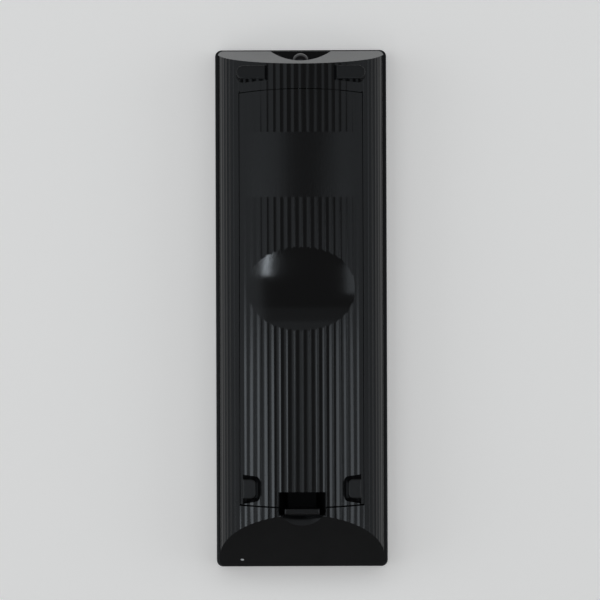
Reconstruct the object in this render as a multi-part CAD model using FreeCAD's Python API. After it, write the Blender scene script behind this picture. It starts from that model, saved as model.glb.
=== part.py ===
import FreeCAD, Part
import math
import os

from FreeCAD import Vector

# Remote control for a disc player, lying face down as in the photograph.
# Millimetres. +X is right in the photograph, +Y points to the infrared end,
# +Z is up, out of the back. The origin is on the table under the middle.

# Cells, two AA in one line
CELL_DIAMETER = 14.5
CELL_BODY = 49.3
CELL_NUB = 1.2
CELL_NUB_DIAMETER = 5.4
CELL_ROUND = 0.6
CELL_FLOAT = 0.1
CELL_HEADROOM = 0.4

# How far a cutter stands clear of what it cuts
OVERCUT = 1.0

# Stack of layers, from the table up
FIELD_DEPTH = 1.0
FACE_WALL = 1.8
MAT_THICKNESS = 1.9
BOARD_THICKNESS = 1.0
BOARD_GAP = 0.2
BAY_FLOOR = 1.0

# Case
CASE_WIDTH = 48.0
CASE_CORNER = 1.8
SIDE_WALL = 2.0
RIM_WIDTH = 2.2
RIM_ROUND = 1.0
STEP_ROUND = 0.3
PARTING_HEIGHT = 8.5
SHELL_STEP = 0.8
SHELL_END_STEP = 0.3
SHELL_WALL = 2.0
SHELL_CORNER = 1.5
LIP_WALL = 0.9
LIP_DEPTH = 1.2
LIP_ROOT = 1.8
LIP_GAP = 0.2
LIP_CORNER = 0.5
INNER_CORNER = 0.3
CROWN_RISE = 11.5

# Flutes along the back: sharp ridges at even steps round the crown
FLUTE_STEP = 4.87
FLUTE_RIDGES = 17
FLUTE_SAG = 0.06
DOOR_RIDGE = 10

# Slopes at the two ends of the back
NOSE_RUN = 4.0
NOSE_DROP = 16.4
TAIL_RUN = 14.7
TAIL_DROP = 14.1

# Infrared recess and emitter
RECESS_HALF = 8.9
RECESS_DEPTH = 3.1
RECESS_WALL = 1.6
RECESS_FLOOR = 1.5
EMITTER_DIAMETER = 5.0
EMITTER_FLANGE = 5.8
EMITTER_FLANGE_THICKNESS = 1.0
EMITTER_REACH = 2.1
EMITTER_HEIGHT = 14.0
EMITTER_GAP = 0.2
LEAD_SIZE = 0.5
LEAD_SPREAD = 2.54
LEAD_BACK = 1.8

# Door and its seams
NOSE_LAND = 10.9
TAIL_LAND = 16.4
NOSE_SEAM_SAG = 1.2
TAIL_SEAM_SAG = 0.85
SEAM = 0.2
TAIL_GAP = 0.4
DOOR_WALL = 2.0
LEDGE = 1.5
LEDGE_GAP = 0.15
LEDGE_BOND = 1.4
LEDGE_HEIGHT = 3.6
LEDGE_ROOT = 0.5
LEDGE_FROM_NOTCH = 1.0
NOSE_MARGIN = 3.2
TAIL_MARGIN = 6.2

# Finger dish and smooth patch on the door
DISH_DEPTH = 1.7
DISH_WALL = 1.4
DISH_HALF_LENGTH = 11.9
DISH_HALF_WIDTH = 15.2
DISH_FROM_NOSE_SEAM = 56.1
DISH_MARGIN = 1.5
PATCH_HALF_WIDTH = 15.6
PATCH_LENGTH = 18.2
PATCH_FROM_NOSE_SEAM = 12.2
PATCH_INSET = 0.08
PATCH_BOND = 0.1

# Feet
FOOT_HEIGHT = 0.5
FOOT_DEPTH = 6.0
FOOT_ROUND = 0.35
NOSE_FOOT_INNER = 10.2
NOSE_FOOT_OUTER = 18.0
NOSE_FOOT_LENGTH = 3.7
NOSE_FOOT_FROM_END = 4.5
NOSE_FOOT_END_SLOPE = 0.65
NOSE_FOOT_LOW_SLOPE = 0.3
TAIL_FOOT_WIDTH = 3.4
TAIL_FOOT_LENGTH = 5.1
TAIL_FOOT_FROM_SEAM = 2.2
TAIL_FOOT_FROM_SIDE = 0.7
TAIL_FOOT_CORNER = 1.3
TAIL_FOOT_INNER_SLOPE = 0.6
TAIL_FOOT_LOW_SLOPE = 0.45
TAIL_FOOT_HIGH_SLOPE = 0.35

# Latch in the tail of the door
NOTCH_HALF = 6.4
NOTCH_LENGTH = 4.4
TAB_HALF = 4.95
TAB_LENGTH = 1.6
TAB_HEIGHT = 4.6
TAB_BELOW_CROWN = 0.35
LATCH_GAP = 0.25
LATCH_LEG = 1.1
LATCH_HALF = 4.0
LATCH_WELL_WALL = 1.0
LATCH_DEPTH = 10.1
LATCH_PIVOT_RADIUS = 0.6
LATCH_PIVOT_GAP = 0.1
POCKET_BELOW_PIVOT = 2.0
TAB_ROUND = 0.4
TAB_HEAD = 0.5
BRIDGE_THICKNESS = 1.0
SCOOP_RADIUS = 7.74
SCOOP_BALL = 25.0
SCOOP_BEYOND_CREST = 3.1
SCOOP_WALL = 1.5

# Hinge tongues in the nose of the door
TONGUE_INNER = 6.0
TONGUE_WIDTH = 5.0
TONGUE_REACH = 1.6
TONGUE_THICKNESS = 1.4
TONGUE_ROOT = 0.8
TONGUE_GAP = 0.25

# Battery bay
BAY_WALL = 1.2
BAY_END_HALF = 8.5
BAY_END_BELOW_CROWN = 4.8
CRADLE_THICKNESS = 1.0
CRADLE_HEIGHT = 4.2
CRADLE_GAP = 0.15
CRADLES_PER_CELL = 3
PLATE_SIZE = 11.0
PLATE_THICKNESS = 0.4
TAIL_TAG_WIDTH = 3.0
TAG_GAP = 0.2
SPRING_WIRE = 0.7
SPRING_RADIUS = 4.0
SPRING_PITCH = 1.3
SPRING_TURNS = 2.5

# Screws
SCREW_FROM_BAY_SIDE = 3.4
SCREW_SHANK = 2.0
SCREW_HEAD = 4.0
SCREW_HEAD_HEIGHT = 1.4
SCREW_LENGTH = 4.0
SCREW_SLOT = 0.5
POST_DIAMETER = 4.6
POST_GAP = 0.3
SCREW_GAP = 0.1

# Keys
KEY_PROUD = 0.75
KEY_GAP = 0.2
KEY_FLANGE = 0.55
FLANGE_THICKNESS = 0.6
FLANGE_PLAY = 0.1
KEY_TRAVEL = 0.8
KEY_ROUND = 0.3
POCKET_GAP = 0.2
POCKET_FLOOR_GAP = 0.15
KEY_FROM_FIELD_SIDE = 3.8
POWER_FROM_END = 11.4
POWER_RADIUS = 3.4
DIGITS_BELOW_POWER = 14.5
DIGIT_ROW = 7.0
DIGIT_SIZE = (9.0, 4.6)
COLOURS_BELOW_DIGITS = 7.5
COLOUR_FROM_FIELD_SIDE = 2.9
COLOUR_SIZE = (7.0, 3.0)
MENUS_BELOW_COLOURS = 7.5
MENU_FROM_FIELD_SIDE = 2.9
MENU_SIZE = (8.0, 4.4)
RING_BELOW_MENUS = 14.0
RING_INNER = 6.3
RING_OUTER = 12.0
RING_HALF_ANGLE = 38.0
OK_RADIUS = 4.7
RETURN_BELOW_RING = 14.0
HOME_BELOW_RING = 16.5
PLAY_BELOW_RETURN = 11.0
PLAY_ROW = 7.8
PLAY_SIZE = (9.5, 5.4)

# Board and its parts
BOARD_SIDE_GAP = 1.4
BOARD_END_GAP = 1.2
BOARD_CORNER = 1.0
CHIP_SIZE = (10.0, 7.0, 1.6)
CHIP_LEG = (0.5, 1.2, 0.5)
CHIP_LEGS = 7
RESISTOR_SIZE = (2.0, 1.2, 0.6)
RESISTOR_PITCH = 4.0
RESISTOR_FROM_CHIP = 5.0
PARTS_ROW_OFFSET = 4.8
RESONATOR_SIZE = (6.0, 2.4, 3.4)
CAPACITOR_RADIUS = 2.5
CAPACITOR_HEIGHT = 5.6
CAPACITOR_ROUND = 0.4
RESONATOR_ROUND = 0.8
TRANSISTOR_RADIUS = 2.3
TRANSISTOR_FLAT = 1.3
TRANSISTOR_HEIGHT = 4.6

# Worked out: heights
FACE_IN = FIELD_DEPTH + FACE_WALL
MAT_TOP = FACE_IN + MAT_THICKNESS
BOARD_TOP = MAT_TOP + BOARD_THICKNESS
BAY_BOTTOM = BOARD_TOP + BOARD_GAP
BAY_FLOOR_TOP = BAY_BOTTOM + BAY_FLOOR
CRADLE_TOP = BAY_FLOOR_TOP + CRADLE_HEIGHT
CELL_AXIS = BAY_FLOOR_TOP + CELL_FLOAT + CELL_DIAMETER / 2
CROWN_TOP = CELL_AXIS + CELL_DIAMETER / 2 + CELL_HEADROOM + DISH_WALL + DISH_DEPTH
CROWN_EDGE = CROWN_TOP - CROWN_RISE
FOOT_TOP = CROWN_TOP + FOOT_HEIGHT

# Worked out: widths
CASE_HALF = CASE_WIDTH / 2
SHELL_HALF = CASE_HALF - SHELL_STEP
DOOR_HALF = SHELL_HALF * math.sin(math.radians(DOOR_RIDGE * FLUTE_STEP))
BAY_HALF = DOOR_HALF - LEDGE

# Worked out: lengths, from the cells outwards
SPRING_LENGTH = SPRING_PITCH * SPRING_TURNS + SPRING_WIRE
BAY_LENGTH = 2 * (CELL_BODY + CELL_NUB) + SPRING_LENGTH + 2 * PLATE_THICKNESS
DOOR_LENGTH = BAY_LENGTH + 2 * BAY_WALL + NOSE_MARGIN + TAIL_MARGIN
LENGTH = DOOR_LENGTH + NOSE_LAND + TAIL_LAND
NOSE_END = LENGTH / 2
TAIL_END = -LENGTH / 2
NOSE_SEAM = NOSE_END - NOSE_LAND
TAIL_SEAM = TAIL_END + TAIL_LAND
BAY_NOSE = NOSE_SEAM - NOSE_MARGIN - BAY_WALL
BAY_TAIL = BAY_NOSE - BAY_LENGTH
SPRING_START = BAY_TAIL + PLATE_THICKNESS
LOWER_CELL = SPRING_START + SPRING_LENGTH
UPPER_CELL = LOWER_CELL + CELL_BODY + CELL_NUB
TAIL_CREST = TAIL_END + TAIL_RUN
TAIL_EDGE = TAIL_SEAM + TAIL_SEAM_SAG
DISH_CENTRE = NOSE_SEAM - DISH_FROM_NOSE_SEAM
PIVOT_Y = TAIL_SEAM - LATCH_LEG / 2
PIVOT_Z = CROWN_TOP - LATCH_DEPTH
EMITTER_SEAT = NOSE_END - RECESS_DEPTH - RECESS_WALL
TAIL_BOARD_MIDDLE = (TAIL_END + TAIL_SEAM) / 2
TAIL_PARTS_ROW = TAIL_BOARD_MIDDLE + PARTS_ROW_OFFSET
FAR = 4 * LENGTH

# Worked out: the columns and rows of the keys, and the screws in the room they leave
FIELD_HALF = CASE_HALF - RIM_WIDTH
COLUMN = FIELD_HALF - KEY_FROM_FIELD_SIDE - DIGIT_SIZE[0] / 2
COLOUR_COLUMN = (FIELD_HALF - COLOUR_FROM_FIELD_SIDE - COLOUR_SIZE[0] / 2) / 1.5
MENU_COLUMN = FIELD_HALF - MENU_FROM_FIELD_SIDE - MENU_SIZE[0] / 2
POWER_LEVEL = NOSE_END - POWER_FROM_END
DIGIT_TOP = POWER_LEVEL - DIGITS_BELOW_POWER
DIGIT_LOW = DIGIT_TOP - 3 * DIGIT_ROW
COLOUR_LEVEL = DIGIT_LOW - COLOURS_BELOW_DIGITS
MENU_LEVEL = COLOUR_LEVEL - MENUS_BELOW_COLOURS
RING_LEVEL = MENU_LEVEL - RING_BELOW_MENUS
RETURN_LEVEL = RING_LEVEL - RETURN_BELOW_RING
HOME_LEVEL = RING_LEVEL - HOME_BELOW_RING
PLAY_LEVEL = RETURN_LEVEL - PLAY_BELOW_RETURN
STOP_LEVEL = PLAY_LEVEL - 2 * PLAY_ROW
SCREW_SIDE = BAY_HALF - SCREW_FROM_BAY_SIDE
SCREW_POINTS = [
    (side * SCREW_SIDE, y) for side in (-1, 1) for y in ((POWER_LEVEL + DIGIT_TOP) / 2, STOP_LEVEL)
]


def block(x0, x1, y0, y1, z0, z1):
    """A plain block between two corners."""
    return Part.makeBox(x1 - x0, y1 - y0, z1 - z0, Vector(x0, y0, z0))


def rod(radius, start, end):
    """A round rod from one point to another."""
    axis = end.sub(start)
    return Part.makeCylinder(radius, axis.Length, start, axis)


def prism(edges, z0, z1):
    """A closed plan outline at height zero, raised between two heights."""
    face = Part.Face(Part.Wire(Part.__sortEdges__(edges)))
    face.translate(Vector(0, 0, z0))
    return face.extrude(Vector(0, 0, z1 - z0))


def line(a, b):
    """A straight edge."""
    return Part.LineSegment(a, b).toShape()


def arc(a, b, c):
    """A round edge through three points."""
    return Part.Arc(a, b, c).toShape()


def round_plate(x0, x1, y0, y1, z0, z1, radius):
    """A plate with round plan corners."""
    k = radius * (1 - math.sqrt(0.5))
    corners = [
        (Vector(x1, y1 - radius, 0), Vector(x1 - k, y1 - k, 0), Vector(x1 - radius, y1, 0)),
        (Vector(x0 + radius, y1, 0), Vector(x0 + k, y1 - k, 0), Vector(x0, y1 - radius, 0)),
        (Vector(x0, y0 + radius, 0), Vector(x0 + k, y0 + k, 0), Vector(x0 + radius, y0, 0)),
        (Vector(x1 - radius, y0, 0), Vector(x1 - k, y0 + k, 0), Vector(x1, y0 + radius, 0)),
    ]
    edges = []
    for i, (a, b, c) in enumerate(corners):
        edges.append(arc(a, b, c))
        following = corners[(i + 1) % 4][0]
        if c.distanceToPoint(following) > 1e-6:
            edges.append(line(c, following))
    return prism(edges, z0, z1)


def save(name, shape):
    """Write one sub-part."""
    clean = shape.removeSplitter()
    clean.exportStep("parts/" + name + ".step")
    print(name, "solids", len(clean.Solids), "volume", round(clean.Volume, 2), clean.isValid())


# The back's crown: half an ellipse on straight sides
def ridge(k):
    """The tip of one ridge, at y zero."""
    turn = math.radians(k * FLUTE_STEP)
    return Vector(SHELL_HALF * math.sin(turn), 0, CROWN_EDGE + CROWN_RISE * math.cos(turn))


def fluted_edges():
    """Hollow arcs from ridge to ridge, from one side of the crown to the other."""
    middle = Vector(0, 0, CROWN_EDGE)
    edges = []
    for k in range(-FLUTE_RIDGES, FLUTE_RIDGES):
        a = ridge(k)
        b = ridge(k + 1)
        centre = (a + b) * 0.5
        inward = (middle - centre).normalize()
        edges.append(arc(a, centre + inward * (FLUTE_SAG * a.distanceToPoint(b)), b))
    return edges


def smooth_edges(inset):
    """The plain half ellipse, drawn in by a wall."""
    oval = Part.Ellipse(Vector(0, 0, 0), SHELL_HALF - inset, CROWN_RISE - inset)
    edge = Part.ArcOfEllipse(oval, 0, math.pi).toShape()
    edge.rotate(Vector(0, 0, 0), Vector(1, 0, 0), 90)
    edge.translate(Vector(0, 0, CROWN_EDGE))
    return [edge]


def end_wedge(side, inset):
    """All that lies outside the sloping face at one end of the back."""
    end = NOSE_END if side > 0 else TAIL_END
    run = NOSE_RUN if side > 0 else TAIL_RUN
    drop = NOSE_DROP if side > 0 else TAIL_DROP
    slant = math.hypot(run, drop)
    along = Vector(0, side * run / slant, -drop / slant)
    out = Vector(0, side * drop / slant, run / slant)
    crest = Vector(-FAR / 2, end - side * run, CROWN_TOP) - out * inset
    a = crest - along * LENGTH
    b = crest + along * LENGTH
    face = Part.Face(Part.makePolygon([a, b, b + out * LENGTH, a + out * LENGTH, a]))
    return face.extrude(Vector(FAR, 0, 0))


def crown_body(inset, base, fluted=False):
    """The back's whole form, drawn in by a wall, from a base height up."""
    edges = fluted_edges() if fluted else smooth_edges(inset)
    half = SHELL_HALF - inset
    left = ridge(-FLUTE_RIDGES) if fluted else Vector(-half, 0, CROWN_EDGE)
    right = ridge(FLUTE_RIDGES) if fluted else Vector(half, 0, CROWN_EDGE)
    foot_left = Vector(-half, 0, base)
    foot_right = Vector(half, 0, base)
    edges = edges + [line(foot_left, foot_right)]
    if fluted:
        edges.append(line(left, Vector(-half, 0, left.z)))
        edges.append(line(right, Vector(half, 0, right.z)))
        edges.append(line(Vector(-half, 0, left.z), foot_left))
        edges.append(line(Vector(half, 0, right.z), foot_right))
    else:
        edges.append(line(left, foot_left))
        edges.append(line(right, foot_right))
    face = Part.Face(Part.Wire(Part.__sortEdges__(edges)))
    face.translate(Vector(0, -LENGTH, 0))
    body = face.extrude(Vector(0, 2 * LENGTH, 0))
    body = body.cut(end_wedge(1, inset)).cut(end_wedge(-1, inset))
    ends = NOSE_END - SHELL_END_STEP - inset
    corner = max(SHELL_CORNER - inset, INNER_CORNER)
    return body.common(round_plate(-half, half, -ends, ends, base, FOOT_TOP, corner))


# The door's plan, used for its opening too
def door_plan(inset, tail_inset, z0, z1):
    """Straight sides and bowed ends, raised between two heights."""
    half = DOOR_HALF - inset
    nose_side = NOSE_SEAM - NOSE_SEAM_SAG - inset
    tail_side = TAIL_EDGE + tail_inset
    edges = [
        arc(Vector(half, nose_side, 0), Vector(0, NOSE_SEAM - inset, 0), Vector(-half, nose_side, 0)),
        line(Vector(-half, nose_side, 0), Vector(-half, tail_side, 0)),
        arc(Vector(-half, tail_side, 0), Vector(0, TAIL_SEAM + tail_inset, 0), Vector(half, tail_side, 0)),
        line(Vector(half, tail_side, 0), Vector(half, nose_side, 0)),
    ]
    return prism(edges, z0, z1)


# Keys: every outline can grow, for its hole, its flange and its pocket
def pill(x, y, size, grow):
    """Plan edges of a key with round ends."""
    half = size[0] / 2 + grow
    radius = size[1] / 2 + grow
    inner = half - radius
    return [
        line(Vector(x - inner, y + radius, 0), Vector(x + inner, y + radius, 0)),
        arc(Vector(x + inner, y + radius, 0), Vector(x + half, y, 0), Vector(x + inner, y - radius, 0)),
        line(Vector(x + inner, y - radius, 0), Vector(x - inner, y - radius, 0)),
        arc(Vector(x - inner, y - radius, 0), Vector(x - half, y, 0), Vector(x - inner, y + radius, 0)),
    ]


def disc(x, y, radius, grow):
    """Plan edge of a round key."""
    return [Part.makeCircle(radius + grow, Vector(x, y, 0))]


def sector(heading, grow):
    """Plan edges of one arrow key, a piece of a ring."""
    low = RING_INNER - grow
    high = RING_OUTER + grow
    mean = (RING_INNER + RING_OUTER) / 2
    spread = RING_HALF_ANGLE + math.degrees(grow / mean)

    def at(radius, angle):
        turn = math.radians(heading + angle)
        return Vector(radius * math.cos(turn), RING_LEVEL + radius * math.sin(turn), 0)

    return [
        arc(at(low, -spread), at(low, 0), at(low, spread)),
        line(at(low, spread), at(high, spread)),
        arc(at(high, spread), at(high, 0), at(high, -spread)),
        line(at(high, -spread), at(low, -spread)),
    ]


def key_outlines():
    """Each key's name and a function of growth that gives its plan edges.

    The front faces down, so its left column lies at positive x here.
    """
    keys = {}
    keys["eject_key"] = lambda g: disc(COLUMN, POWER_LEVEL, POWER_RADIUS, g)
    keys["power_key"] = lambda g: disc(-COLUMN, POWER_LEVEL, POWER_RADIUS, g)
    for number in range(1, 10):
        x = COLUMN * (1 - (number - 1) % 3)
        y = DIGIT_TOP - DIGIT_ROW * ((number - 1) // 3)
        keys["digit_%d_key" % number] = lambda g, x=x, y=y: pill(x, y, DIGIT_SIZE, g)
    keys["digit_0_key"] = lambda g: pill(0, DIGIT_LOW, DIGIT_SIZE, g)
    for place, colour in enumerate(("red", "green", "yellow", "blue")):
        x = COLOUR_COLUMN * (1.5 - place)
        keys[colour + "_key"] = lambda g, x=x: pill(x, COLOUR_LEVEL, COLOUR_SIZE, g)
    keys["top_menu_key"] = lambda g: pill(MENU_COLUMN, MENU_LEVEL, MENU_SIZE, g)
    keys["popup_menu_key"] = lambda g: pill(-MENU_COLUMN, MENU_LEVEL, MENU_SIZE, g)
    keys["ok_key"] = lambda g: disc(0, RING_LEVEL, OK_RADIUS, g)
    for name, heading in (("up", 90), ("down", 270), ("left", 0), ("right", 180)):
        keys[name + "_key"] = lambda g, heading=heading: sector(heading, g)
    keys["return_key"] = lambda g: pill(MENU_COLUMN, RETURN_LEVEL, MENU_SIZE, g)
    keys["options_key"] = lambda g: pill(-MENU_COLUMN, RETURN_LEVEL, MENU_SIZE, g)
    keys["home_key"] = lambda g: pill(0, HOME_LEVEL, MENU_SIZE, g)
    rows = (("rewind", "play", "forward"), ("previous", "pause", "next"))
    for row, names in enumerate(rows):
        for place, name in enumerate(names):
            x = COLUMN * (1 - place)
            y = PLAY_LEVEL - PLAY_ROW * row
            keys[name + "_key"] = lambda g, x=x, y=y: pill(x, y, PLAY_SIZE, g)
    keys["stop_key"] = lambda g: pill(0, STOP_LEVEL, PLAY_SIZE, g)
    return keys


KEYS = key_outlines()
KEY_TIP = FIELD_DEPTH - KEY_PROUD
FLANGE_BOTTOM = FACE_IN + FLANGE_PLAY
FLANGE_TOP = FLANGE_BOTTOM + FLANGE_THICKNESS
POCKET_TOP = FLANGE_TOP + KEY_TRAVEL + POCKET_FLOOR_GAP


# Front case: a tray with a raised rim, holes for the keys and screw posts
def front_case():
    outer = round_plate(-CASE_HALF, CASE_HALF, TAIL_END, NOSE_END, 0, PARTING_HEIGHT, CASE_CORNER)
    upper = [edge for edge in outer.Edges if edge.BoundBox.ZMin > PARTING_HEIGHT - 1e-6]
    outer = outer.makeFillet(STEP_ROUND, upper)
    lower = [edge for edge in outer.Edges if edge.BoundBox.ZMax < 1e-6]
    outer = outer.makeFillet(RIM_ROUND, lower)
    field_end = NOSE_END - RIM_WIDTH
    field = round_plate(-FIELD_HALF, FIELD_HALF, -field_end, field_end, -OVERCUT, FIELD_DEPTH, SIDE_WALL)
    hollow_half = CASE_HALF - SIDE_WALL
    hollow_end = NOSE_END - SIDE_WALL
    corner = max(CASE_CORNER - SIDE_WALL, INNER_CORNER)
    hollow = round_plate(
        -hollow_half, hollow_half, -hollow_end, hollow_end, FACE_IN, PARTING_HEIGHT + OVERCUT, corner
    )
    case = outer.cut(field).cut(hollow)
    posts = []
    bores = []
    for x, y in SCREW_POINTS:
        posts.append(rod(POST_DIAMETER / 2, Vector(x, y, FIELD_DEPTH), Vector(x, y, BAY_BOTTOM)))
        bore_start = Vector(x, y, BAY_FLOOR_TOP - SCREW_LENGTH - SCREW_GAP)
        bores.append(rod(SCREW_SHANK / 2 + SCREW_GAP, bore_start, Vector(x, y, BAY_FLOOR_TOP)))
    case = case.fuse(posts).cut(bores)
    holes = [prism(outline(KEY_GAP), 0, FACE_IN + OVERCUT) for outline in KEYS.values()]
    return case.cut(holes)


# Rear case: the fluted shell with the door's opening and two feet. The battery bay
# under its ledges is parted off as two nodes, the tray and the walls above it
def scoop(grow):
    """The finger scoop: a round well with a bowl for a floor, or its wall when grown."""
    rim_drop = SCOOP_BEYOND_CREST * TAIL_DROP / TAIL_RUN
    centre_y = TAIL_CREST - SCOOP_BEYOND_CREST + SCOOP_RADIUS
    floor_rise = math.sqrt(SCOOP_BALL ** 2 - SCOOP_RADIUS ** 2)
    ball_z = CROWN_TOP - rim_drop + floor_rise
    ball = Part.makeSphere(SCOOP_BALL + grow, Vector(0, centre_y, ball_z))
    well_top = Vector(0, centre_y, FOOT_TOP + OVERCUT)
    well = rod(SCOOP_RADIUS + grow, Vector(0, centre_y, PARTING_HEIGHT), well_top)
    return well.common(ball)


def recess(grow, base):
    """The half-moon recess in the nose, or its wall when grown."""
    radius = (RECESS_HALF ** 2 + RECESS_DEPTH ** 2) / (2 * RECESS_DEPTH)
    centre = NOSE_END + radius - RECESS_DEPTH
    return rod(radius + grow, Vector(0, centre, base), Vector(0, centre, FOOT_TOP))


def skirted(outline):
    """A foot with a rounded top, whose outline at each depth spreads into the crown."""
    wires = []
    for depth in (0, FOOT_DEPTH):
        wire = Part.Wire(outline(depth))
        wire.translate(Vector(0, 0, FOOT_TOP - depth))
        wires.append(wire)
    foot = Part.makeLoft(wires, True, True)
    rim = [edge for edge in foot.Edges if edge.BoundBox.ZMin > FOOT_TOP - 1e-6]
    return foot.makeFillet(FOOT_ROUND, rim)


def nose_foot(side):
    """A bar with a round outer end, whose inner end and lower wall spread."""
    high = NOSE_END - NOSE_FOOT_FROM_END
    half = NOSE_FOOT_LENGTH / 2
    bend = side * (NOSE_FOOT_OUTER - half)
    tip = side * NOSE_FOOT_OUTER

    def outline(depth):
        inner = side * (NOSE_FOOT_INNER - NOSE_FOOT_END_SLOPE * depth)
        low = high - NOSE_FOOT_LENGTH - NOSE_FOOT_LOW_SLOPE * depth
        return [
            line(Vector(bend, low, 0), Vector(inner, low, 0)),
            line(Vector(inner, low, 0), Vector(inner, high, 0)),
            line(Vector(inner, high, 0), Vector(bend, high, 0)),
            arc(Vector(bend, high, 0), Vector(tip, high - half, 0), Vector(bend, low, 0)),
        ]

    return skirted(outline)


def bay_tray():
    """The tray under the door: floor, walls and cradles."""
    wide = BAY_HALF + BAY_WALL
    ledge_base = CROWN_EDGE + LEDGE_HEIGHT
    tray = block(-wide, wide, BAY_TAIL - BAY_WALL, BAY_NOSE + BAY_WALL, BAY_BOTTOM, ledge_base)
    tray = tray.cut(
        block(-BAY_HALF, BAY_HALF, BAY_TAIL, BAY_NOSE, BAY_FLOOR_TOP, ledge_base + OVERCUT)
    )
    end_top = CROWN_TOP - BAY_END_BELOW_CROWN
    ends = [
        block(-BAY_END_HALF, BAY_END_HALF, y, y + BAY_WALL, BAY_FLOOR_TOP, end_top)
        for y in (BAY_TAIL - BAY_WALL, BAY_NOSE)
    ]
    cradles = []
    pitch = CELL_BODY / CRADLES_PER_CELL
    for start in (LOWER_CELL, UPPER_CELL):
        for i in range(CRADLES_PER_CELL):
            y = start + pitch * (i + 0.5)
            half = CRADLE_THICKNESS / 2
            cradles.append(
                block(-BAY_HALF, BAY_HALF, y - half, y + half, BAY_BOTTOM, CRADLE_TOP)
            )
    tray = tray.fuse(ends + cradles)
    cells = rod(
        CELL_DIAMETER / 2 + CRADLE_GAP, Vector(0, LOWER_CELL, CELL_AXIS), Vector(0, BAY_NOSE, CELL_AXIS)
    )
    return tray.cut(cells)


def latch_well():
    """The closed well under the door's notch, in which the catch springs."""
    base = PIVOT_Z - POCKET_BELOW_PIVOT - LATCH_WELL_WALL
    half = NOTCH_HALF + LATCH_WELL_WALL
    front = TAIL_SEAM - TAB_LENGTH - LATCH_GAP - LATCH_WELL_WALL
    well = block(-half, half, front, BAY_TAIL - BAY_WALL, base, CROWN_TOP)
    return well.common(crown_body(DOOR_WALL + LEDGE_GAP, PARTING_HEIGHT))


def tag_slot(y):
    """The slot in the bay's floor for a contact's tag."""
    half = TAIL_TAG_WIDTH / 2 + TAG_GAP
    y1 = y + PLATE_THICKNESS + TAG_GAP
    return block(-half, half, y - TAG_GAP, y1, BAY_BOTTOM - OVERCUT, BAY_FLOOR_TOP + OVERCUT)


def back_moulding():
    """The rear case and its bay in one, before the bay is parted off."""
    outer = crown_body(0, PARTING_HEIGHT, fluted=True)
    shell = outer.cut(crown_body(SHELL_WALL, PARTING_HEIGHT - OVERCUT))
    smooth = crown_body(LEDGE_GAP, PARTING_HEIGHT)

    lip_outer = CASE_HALF - SIDE_WALL - LIP_GAP
    lip_end = NOSE_END - SIDE_WALL - LIP_GAP
    lip_inner = lip_outer - LIP_WALL
    lip_low = PARTING_HEIGHT - LIP_DEPTH
    lip_high = PARTING_HEIGHT + LIP_ROOT
    lip = round_plate(-lip_outer, lip_outer, -lip_end, lip_end, lip_low, lip_high, LIP_CORNER)
    inner_end = lip_end - LIP_WALL
    lip = lip.cut(
        round_plate(-lip_inner, lip_inner, -inner_end, inner_end, 0, lip_high + OVERCUT, LIP_CORNER)
    )

    ledges = []
    ledge_base = CROWN_EDGE + LEDGE_HEIGHT - LEDGE_ROOT
    ledge_out = DOOR_HALF + LEDGE_BOND
    for side in (-1, 1):
        x0, x1 = sorted((side * BAY_HALF, side * ledge_out))
        ledges.append(block(x0, x1, TAIL_SEAM, NOSE_SEAM - NOSE_SEAM_SAG, ledge_base, CROWN_TOP))
        x0, x1 = sorted((side * (NOTCH_HALF + LEDGE_FROM_NOTCH), side * ledge_out))
        ledges.append(
            block(x0, x1, TAIL_SEAM - LEDGE_BOND, TAIL_EDGE + LEDGE, ledge_base, CROWN_TOP)
        )
    ledges = [ledge.common(smooth) for ledge in ledges]

    scoop_wall = scoop(SCOOP_WALL).common(smooth)
    scoop_wall = scoop_wall.cut(block(-FAR, FAR, TAIL_SEAM - LATCH_GAP, FAR, 0, FAR))
    recess_wall = recess(RECESS_WALL, PARTING_HEIGHT).common(smooth)
    feet = [nose_foot(side) for side in (-1, 1)]
    inner = crown_body(SHELL_WALL / 2, PARTING_HEIGHT)
    feet = [foot.cut(inner) for foot in feet]

    case = shell.fuse([lip, bay_tray(), scoop_wall, recess_wall, latch_well()] + ledges + feet)

    over_door = door_plan(0, 0, CROWN_EDGE, FOOT_TOP + OVERCUT).cut(
        crown_body(DOOR_WALL + LEDGE_GAP, PARTING_HEIGHT)
    )
    case = case.cut(over_door)
    way_in = block(
        -BAY_HALF, BAY_HALF, TAIL_EDGE + LEDGE, NOSE_SEAM - NOSE_SEAM_SAG, ledge_base, FOOT_TOP
    )
    end_top = CROWN_TOP - BAY_END_BELOW_CROWN
    ends = block(-BAY_END_HALF, BAY_END_HALF, BAY_TAIL - BAY_WALL, BAY_NOSE + BAY_WALL, 0, end_top)
    case = case.cut(way_in.cut(ends))

    pocket_front = TAIL_SEAM - TAB_LENGTH - LATCH_GAP
    pocket_back = BAY_TAIL - BAY_WALL
    pocket_base = PIVOT_Z - POCKET_BELOW_PIVOT
    pocket = block(-NOTCH_HALF, NOTCH_HALF, pocket_front, pocket_back, pocket_base, FOOT_TOP)
    case = case.cut([scoop(0).cut(block(-FAR, FAR, TAIL_SEAM, FAR, 0, FAR)), pocket])
    case = case.cut(recess(0, PARTING_HEIGHT + RECESS_FLOOR))
    hole_start = Vector(0, EMITTER_SEAT - OVERCUT, EMITTER_HEIGHT)
    hole_end = Vector(0, NOSE_END, EMITTER_HEIGHT)
    hole = rod(EMITTER_DIAMETER / 2 + EMITTER_GAP, hole_start, hole_end)
    screws = [
        rod(SCREW_SHANK / 2 + SCREW_GAP, Vector(x, y, 0), Vector(x, y, CELL_AXIS)) for x, y in SCREW_POINTS
    ]
    slots = [tag_slot(BAY_TAIL), tag_slot(BAY_NOSE - PLATE_THICKNESS)]
    return case.cut([hole] + screws + slots)


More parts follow.
